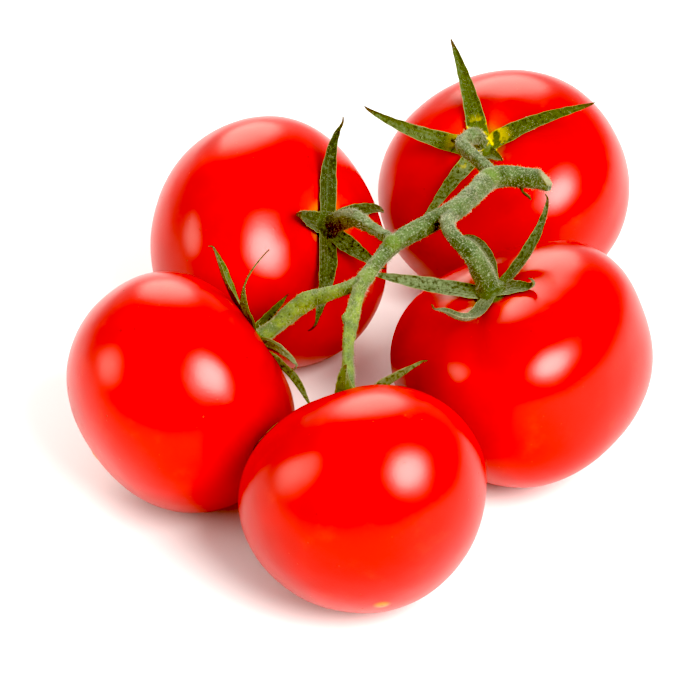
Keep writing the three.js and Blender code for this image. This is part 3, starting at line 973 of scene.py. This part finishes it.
def dress_stem(mesh, paths, looks):
    """Ridges, bumps and shading values of the stem, read from the nearest point of its paths."""
    rows = []
    for label, path in paths.items():
        ahead = np.gradient(path[:, :3], axis=0)
        ahead /= np.linalg.norm(ahead, axis=1)[:, None]
        run = np.concatenate([[0], np.cumsum(np.linalg.norm(np.diff(path[:, :3], axis=0), axis=1))])
        rows.append(np.column_stack([path[:, :3], ahead, run, *stem_shading(label, path, run)]))
    rows = np.vstack(rows)
    tree = KDTree(len(rows))
    for i, row in enumerate(rows):
        tree.insert(row[:3], i)
    tree.balance()
    count = len(mesh.vertices)
    place = np.empty(count * 3, np.float32)
    normal = np.empty(count * 3, np.float32)
    mesh.vertices.foreach_get("co", place)
    mesh.vertices.foreach_get("normal", normal)
    place = place.reshape(-1, 3) / MM
    normal = normal.reshape(-1, 3)
    near = rows[[tree.find(point)[1] for point in place]]
    off = place - near[:, :3]
    ahead = near[:, 3:6]
    run, fresh, worn, end_near = near[:, 6:].T
    first = np.cross(ahead, RIDGE_START)
    first /= np.linalg.norm(first, axis=1)[:, None]
    second = np.cross(ahead, first)
    turn = np.arctan2((off * second).sum(1), (off * first).sum(1))
    buds = np.zeros(count)
    for *centre, radius in BUD_SCARS[:SMOOTH_BUDS]:
        buds = np.maximum(buds, eased(np.linalg.norm(place - centre, axis=1) / radius, *BUD_SHADE))
    lumps = np.array([noise.noise(Vector(point) * LUMP_GRAIN) for point in place])
    pits = np.array([noise.noise(Vector(point) * PIT_GRAIN) for point in place])
    ridge = np.cos(RIDGE_COUNT * turn + RIDGE_TWIST * run) * looks.ridge
    height = (ridge + looks.lump * (lumps + PIT_SHARE * pits)) * (1 - buds)
    place = place + normal * height[:, None] / MM
    over = (place - CUT_AT) @ CUT_FACING
    axis = rows[0, 3:6]
    place -= np.outer(np.maximum(over, 0) / (axis @ CUT_FACING), axis)
    mesh.vertices.foreach_set("co", (place * MM).astype(np.float32).ravel())
    shoot = np.array(DRIED_SHOOT)[1:, :3]
    from_shoot = np.linalg.norm(place[:, None] - shoot, axis=2).min(1)
    dark = np.maximum(eased(over, *CUT_RIM_SHADE) * end_near, eased(from_shoot, *SHOOT_SHADE))
    set_values(mesh, "fresh", fresh)
    set_values(mesh, "worn", np.maximum(worn, dark))
    set_values(mesh, "cut", eased(over, *CUT_SHADE) * end_near)
    set_values(mesh, "bud", buds)
    mesh.update()


def hair_tree(material):
    """Hairs: slim three-sided spikes scattered over a surface, each with its own lean and length."""
    tree, given = new_tree("hair_form", {
        "Density": "Float", "Length": "Float", "Width": "Float", "Lean": "Float", "Seed": "Int"})
    points = add_node(tree, "GeometryNodeDistributePointsOnFaces", inputs={
        "Mesh": given["Geometry"], "Density": given["Density"], "Seed": given["Seed"]})
    spike = add_node(tree, "GeometryNodeMeshCone", {"fill_type": "NONE"}, {
        "Vertices": HAIR_SIDES, "Radius Top": given["Width"] * HAIR_TIP, "Radius Bottom": given["Width"],
        "Depth": given["Length"]})
    lean = add_node(tree, "FunctionNodeRandomValue", {"data_type": "FLOAT_VECTOR"}, {
        0: (-1, -1, -HAIR_SPIN), 1: (1, 1, HAIR_SPIN), "Seed": given["Seed"]})
    lean = add_node(tree, "ShaderNodeVectorMath", {"operation": "SCALE"}, {
        "Vector": lean, "Scale": given["Lean"]})
    lean = add_node(tree, "FunctionNodeEulerToRotation", inputs={0: lean})
    turned = add_node(tree, "FunctionNodeRotateRotation", {"rotation_space": "LOCAL"}, {
        0: points.other("Rotation"), 1: lean})
    shortest, longest = HAIR_LENGTHS
    size = add_node(tree, "FunctionNodeRandomValue", inputs={
        2: shortest, 3: longest, "Seed": given["Seed"]}, output=1)
    hairs = add_node(tree, "GeometryNodeInstanceOnPoints", inputs={
        "Points": points, "Instance": spike, "Rotation": turned, "Scale": size})
    return end_tree(tree, hairs, material)


class FruitLooks(bpy.types.PropertyGroup):
    """Skin and fineness of the fruits."""

    ripe_colour: FloatVectorProperty(
        name="Ripe", description="Skin where the fruit is fully ripe",
        subtype="COLOR", default=(0.56, 0.003, 0.0013))
    deep_colour: FloatVectorProperty(
        name="Deep", description="Darker clouds in the skin", subtype="COLOR", default=(0.42, 0.0018, 0.0009))
    shoulder_colour: FloatVectorProperty(
        name="Shoulder", description="Orange of the shoulders and flecks",
        subtype="COLOR", default=(0.66, 0.05, 0.006))
    crown_colour: FloatVectorProperty(
        name="Crown", description="Yellow skin close round the calyx",
        subtype="COLOR", default=(0.64, 0.25, 0.008))
    scar_colour: FloatVectorProperty(
        name="Scar", description="Brown of the blossom scar and pores",
        subtype="COLOR", default=(0.15, 0.04, 0.008))
    roughness: FloatProperty(
        name="Roughness", description="Roughness of the skin", subtype="FACTOR", default=0.27, min=0, max=1)
    shine: FloatProperty(
        name="Shine", description="Strength of the skin's reflections",
        subtype="FACTOR", default=0.48, min=0, max=1)
    translucency: FloatProperty(
        name="Translucency", description="Light scattered in the flesh",
        subtype="FACTOR", default=0.12, min=0, max=1)
    segments: IntProperty(name="Segments", description="Faces round a fruit", default=176, min=16)
    rings: IntProperty(name="Rings", description="Faces from stem to blossom end", default=120, min=8)
    furrow: FloatProperty(
        name="Furrows", description="Depth of the furrows on the shoulders", unit="LENGTH", default=0.18 * MM)
    unevenness: FloatProperty(
        name="Unevenness", description="Height of the skin's soft lumps", unit="LENGTH", default=0.7 * MM)


class CalyxLooks(bpy.types.PropertyGroup):
    """Form and colours of the sepals."""

    leaf_colour: FloatVectorProperty(
        name="Leaf", description="Green of a sepal", subtype="COLOR", default=(0.016, 0.036, 0.014))
    shade_colour: FloatVectorProperty(
        name="Shade", description="Dark green between the fuzz",
        subtype="COLOR", default=(0.0095, 0.021, 0.0095))
    young_colour: FloatVectorProperty(
        name="Young", description="Yellow green near the root", subtype="COLOR", default=(0.12, 0.175, 0.016))
    pale_colour: FloatVectorProperty(
        name="Pale", description="Rib, underside and fuzz", subtype="COLOR", default=(0.1, 0.145, 0.07))
    bloom_colour: FloatVectorProperty(
        name="Bloom", description="Greyish bloom of the paler sepals",
        subtype="COLOR", default=(0.16, 0.21, 0.105))
    edge_colour: FloatVectorProperty(
        name="Edge", description="Thin pale edge", subtype="COLOR", default=(0.31, 0.31, 0.13))
    dry_colour: FloatVectorProperty(
        name="Dry", description="Withered tips", subtype="COLOR", default=(0.07, 0.043, 0.016))
    blush_colour: FloatVectorProperty(
        name="Blush", description="Yellow patches at a sepal's root",
        subtype="COLOR", default=(0.58, 0.46, 0.008))
    thickness: FloatProperty(name="Thickness", description="Of a sepal", unit="LENGTH", default=0.55 * MM)
    gutter: FloatProperty(
        name="Gutter", description="How far the edges stand above the rib", unit="LENGTH", default=0.75 * MM)
    rib: FloatProperty(name="Rib", description="Height of the mid-rib", unit="LENGTH", default=0.28 * MM)
    wave: FloatProperty(
        name="Wave", description="Height of the waves in the edges", unit="LENGTH", default=0.16 * MM)
    sides: IntProperty(name="Sides", description="Faces round a sepal", default=36, min=6)
    steps: IntProperty(name="Steps", description="Faces along a sepal", default=52, min=8)


class StemLooks(bpy.types.PropertyGroup):
    """Form and colours of the stems."""

    stem_colour: FloatVectorProperty(
        name="Stem", description="Sage green of the older stem",
        subtype="COLOR", default=(0.092, 0.146, 0.055))
    fresh_colour: FloatVectorProperty(
        name="Fresh", description="Yellow green of the young side stems",
        subtype="COLOR", default=(0.215, 0.285, 0.055))
    shade_colour: FloatVectorProperty(
        name="Shade", description="Dark green dots", subtype="COLOR", default=(0.031, 0.06, 0.024))
    down_colour: FloatVectorProperty(
        name="Down", description="Whitish down", subtype="COLOR", default=(0.36, 0.41, 0.27))
    bud_colour: FloatVectorProperty(
        name="Bud", description="Smooth bud scars", subtype="COLOR", default=(0.125, 0.21, 0.04))
    worn_colour: FloatVectorProperty(
        name="Worn", description="Dark olive next to a calyx", subtype="COLOR", default=(0.04, 0.047, 0.012))
    cut_colour: FloatVectorProperty(
        name="Cut", description="Dried cut end", subtype="COLOR", default=(0.2, 0.19, 0.085))
    voxel: FloatProperty(
        name="Fineness", description="Size of the faces of the fused stems", unit="LENGTH", default=0.3 * MM)
    ridge: FloatProperty(name="Ridges", description="Height of the ridges", unit="LENGTH", default=0.1 * MM)
    lump: FloatProperty(name="Lumps", description="Height of the lumps", unit="LENGTH", default=0.22 * MM)
    sides: IntProperty(name="Sides", description="Faces round a stem before fusing", default=24, min=6)


class HairLooks(bpy.types.PropertyGroup):
    """Hairs of the stems and calyxes."""

    dark_colour: FloatVectorProperty(
        name="Dark", description="Darker hairs", subtype="COLOR", default=(0.24, 0.27, 0.12))
    pale_colour: FloatVectorProperty(
        name="Pale", description="Paler hairs", subtype="COLOR", default=(0.62, 0.57, 0.42))
    stem_length: FloatProperty(name="On stems", description="Length", unit="LENGTH", default=0.6 * MM)
    calyx_length: FloatProperty(name="On calyxes", description="Length", unit="LENGTH", default=0.35 * MM)
    width: FloatProperty(
        name="Width", description="Half width at the root", unit="LENGTH", default=0.034 * MM)
    stem_density: FloatProperty(name="Stem density", description="Hairs in a square metre", default=3.4e6)
    calyx_density: FloatProperty(name="Calyx density", description="Hairs in a square metre", default=2.2e6)
    lean: FloatProperty(name="Lean", description="Largest lean from upright", subtype="ANGLE", default=0.6)


class StageLooks(bpy.types.PropertyGroup):
    """Floor, light and camera."""

    floor_colour: FloatVectorProperty(
        name="Floor", description="Pale studio floor", subtype="COLOR", default=(0.9, 0.9, 0.9))
    floor_size: FloatProperty(name="Floor size", description="Side of the floor", unit="LENGTH", default=8.0)
    room_light: FloatProperty(name="Room", description="Brightness of the white room", default=0.9)
    black_level: FloatVectorProperty(
        name="Black level", description="Red, green and blue that the picture shows as black",
        default=(0.045, 0.07, 0.08))
    elevation: FloatProperty(
        name="Elevation", description="Camera's angle above the floor",
        subtype="ANGLE", default=math.radians(36.5))
    distance: FloatProperty(name="Distance", description="From camera to target", unit="LENGTH", default=0.9)
    lens: FloatProperty(name="Lens", description="Focal length in millimetres", default=178.35)
    target: FloatVectorProperty(
        name="Target", description="Point the camera looks at", subtype="TRANSLATION", unit="LENGTH",
        default=(-0.003, 0.0292, 0.0))


class TrussLooks(bpy.types.PropertyGroup):
    """All that a user would change on the truss."""

    fruit: PointerProperty(name="Fruits", description="Skin and fineness of the fruits", type=FruitLooks)
    calyx: PointerProperty(name="Calyxes", description="Form and colours of the sepals", type=CalyxLooks)
    stem: PointerProperty(name="Stems", description="Form and colours of the stems", type=StemLooks)
    hair: PointerProperty(name="Hairs", description="Hairs of the stems and calyxes", type=HairLooks)
    stage: PointerProperty(name="Stage", description="Floor, light and camera", type=StageLooks)


class TRUSS_OT_tomatoes(bpy.types.Operator):
    """Makes the five fruits"""

    bl_idname = "truss.tomatoes"
    bl_label = "Tomatoes"

    def execute(self, context):
        looks = context.scene.truss_looks.fruit
        tree = tomato_tree(skin_material(looks), looks)
        for fruit in FRUITS:
            node = "tomato_" + fruit["name"]
            mesh = grown(node + "_skin", tree, tomato_sizes(fruit, looks))
            place_piece(mesh.name, mesh, [node])
        return {"FINISHED"}


class TRUSS_OT_calyxes(bpy.types.Operator):
    """Makes the five calyxes with their sepals"""

    bl_idname = "truss.calyxes"
    bl_label = "Calyxes"

    def execute(self, context):
        looks = context.scene.truss_looks.calyx
        material = calyx_material(looks)
        tree = calyx_tree(material, looks)
        for fruit in FRUITS:
            node = "calyx_" + fruit["name"]
            sizes = {label: getattr(looks, label.lower()) for label in ("Thickness", "Gutter", "Rib", "Wave")}
            sizes |= {"Youth": fruit["youth"], "Blush": fruit["blush"], "Seed": float(fruit["name"])}
            sepals = grown(node + "_sepals", tree, sizes, calyx_lines(fruit))
            mesh = joined(node + "_leaves", [sepals, receptacle_mesh(fruit, material)])
            place_piece(mesh.name, mesh, [node])
        return {"FINISHED"}


class TRUSS_OT_stem(bpy.types.Operator):
    """Makes the main stem and its side stems as one fused piece"""

    bl_idname = "truss.stem"
    bl_label = "Stem"

    def execute(self, context):
        looks = context.scene.truss_looks.stem
        paths = stem_paths()
        buds = [bud_path(scar, paths) for scar in BUD_SCARS]
        shoot = smooth_path(DRIED_SHOOT, SHOOT_STEP)
        tubes = [path * MM for path in (*paths.values(), *buds, shoot)]
        lines = line_mesh("stem_lines", tubes, (("half", 1),))
        finishers = (
            ("REMESH", {"mode": "VOXEL", "voxel_size": looks.voxel, "use_smooth_shade": True}),
            ("SMOOTH", {"factor": 0.5, "iterations": 5}),
        )
        tree = stem_tree(stem_material(looks))
        mesh = grown("truss_stem_green", tree, {"Sides": looks.sides}, lines, finishers)
        dress_stem(mesh, paths, looks)
        place_piece(mesh.name, mesh, ["truss_stem"])
        return {"FINISHED"}


class TRUSS_OT_hairs(bpy.types.Operator):
    """Makes the fine hairs on the stem and the calyxes"""

    bl_idname = "truss.hairs"
    bl_label = "Hairs"

    def execute(self, context):
        looks = context.scene.truss_looks.hair
        tree = hair_tree(hair_material(looks))
        calyxes = ["calyx_" + fruit["name"] + "_leaves" for fruit in FRUITS]
        carriers = [("truss_stem_green", "stem_green", looks.stem_density, looks.stem_length)]
        carriers += [(name, "calyx_green", looks.calyx_density, looks.calyx_length) for name in calyxes]
        for seed, (name, slot, density, length) in enumerate(carriers):
            values = {"Density": density, "Length": length, "Width": looks.width, "Lean": looks.lean,
                      "Seed": seed}
            mesh = grown(name + "_hairs", tree, values, bpy.data.objects[name].data.copy())
            place_piece(mesh.name, mesh)
        return {"FINISHED"}


class TRUSS_OT_stage(bpy.types.Operator):
    """Makes the floor, the lights and the camera"""

    bl_idname = "truss.stage"
    bl_label = "Stage"

    def execute(self, context):
        looks = context.scene.truss_looks.stage
        scene = context.scene
        half = looks.floor_size / 2
        mesh = bpy.data.meshes.new("studio_floor")
        corners = [(-half, -half, 0), (half, -half, 0), (half, half, 0), (-half, half, 0)]
        mesh.from_pydata(corners, [], [(0, 1, 2, 3)])
        mesh.materials.append(floor_material(looks))
        floor = bpy.data.objects.new("studio_floor", mesh)
        scene.collection.objects.link(floor)
        target = Vector(looks.target)
        for name, way, distance, width, height, power, tone in SOFTBOXES:
            light = bpy.data.lights.new(name, "AREA")
            light.shape = "ELLIPSE"
            light.size = width
            light.size_y = height
            light.energy = power
            light.color = tone
            box = bpy.data.objects.new(name, light)
            box.location = target + Vector(way).normalized() * distance
            box.rotation_euler = (target - box.location).to_track_quat("-Z", "Y").to_euler()
            box.visible_camera = False
            scene.collection.objects.link(box)
        world = bpy.data.worlds.new("white_room")
        world.use_nodes = True
        room = world.node_tree.nodes["Background"]
        room.inputs["Color"].default_value = (1, 1, 1, 1)
        room.inputs["Strength"].default_value = looks.room_light
        scene.world = world
        scene.view_settings.view_transform = "Standard"
        scene.view_settings.use_curve_mapping = True
        scene.view_settings.curve_mapping.black_level = looks.black_level
        scene.view_settings.curve_mapping.update()
        camera = bpy.data.objects.new("camera", bpy.data.cameras.new("camera"))
        camera.data.lens = looks.lens
        camera.data.sensor_width = SENSOR_WIDTH
        back = Vector((0, -math.cos(looks.elevation), math.sin(looks.elevation)))
        camera.location = target + back * looks.distance
        camera.rotation_euler = (-back).to_track_quat("-Z", "Y").to_euler()
        scene.collection.objects.link(camera)
        scene.camera = camera
        return {"FINISHED"}


class TRUSS_PT_panel(bpy.types.Panel):
    """Lists the makers of the truss"""

    bl_idname = "TRUSS_PT_panel"
    bl_label = "Truss of tomatoes"
    bl_space_type = "VIEW_3D"
    bl_region_type = "UI"
    bl_category = "Tomatoes"

    def draw(self, context):
        looks = context.scene.truss_looks
        groups = (("fruit", TRUSS_OT_tomatoes), ("calyx", TRUSS_OT_calyxes), ("stem", TRUSS_OT_stem),
                  ("hair", TRUSS_OT_hairs), ("stage", TRUSS_OT_stage))
        for label, maker in groups:
            box = self.layout.box()
            box.operator(maker.bl_idname)
            group = getattr(looks, label)
            for key in group.__annotations__:
                box.prop(group, key)


CLASSES = (FruitLooks, CalyxLooks, StemLooks, HairLooks, StageLooks, TrussLooks, TRUSS_OT_tomatoes,
           TRUSS_OT_calyxes, TRUSS_OT_stem, TRUSS_OT_hairs, TRUSS_OT_stage, TRUSS_PT_panel)


def register():
    for item in CLASSES:
        bpy.utils.register_class(item)
    bpy.types.Scene.truss_looks = PointerProperty(
        name="Truss", description="Sizes and colours of the truss", type=TrussLooks)


def unregister():
    del bpy.types.Scene.truss_looks
    for item in reversed(CLASSES):
        bpy.utils.unregister_class(item)


def main():
    register()
    bpy.ops.truss.stage()
    bpy.ops.truss.tomatoes()
    bpy.ops.truss.calyxes()
    bpy.ops.truss.stem()
    bpy.ops.truss.hairs()


if __name__ == "__main__":
    main()
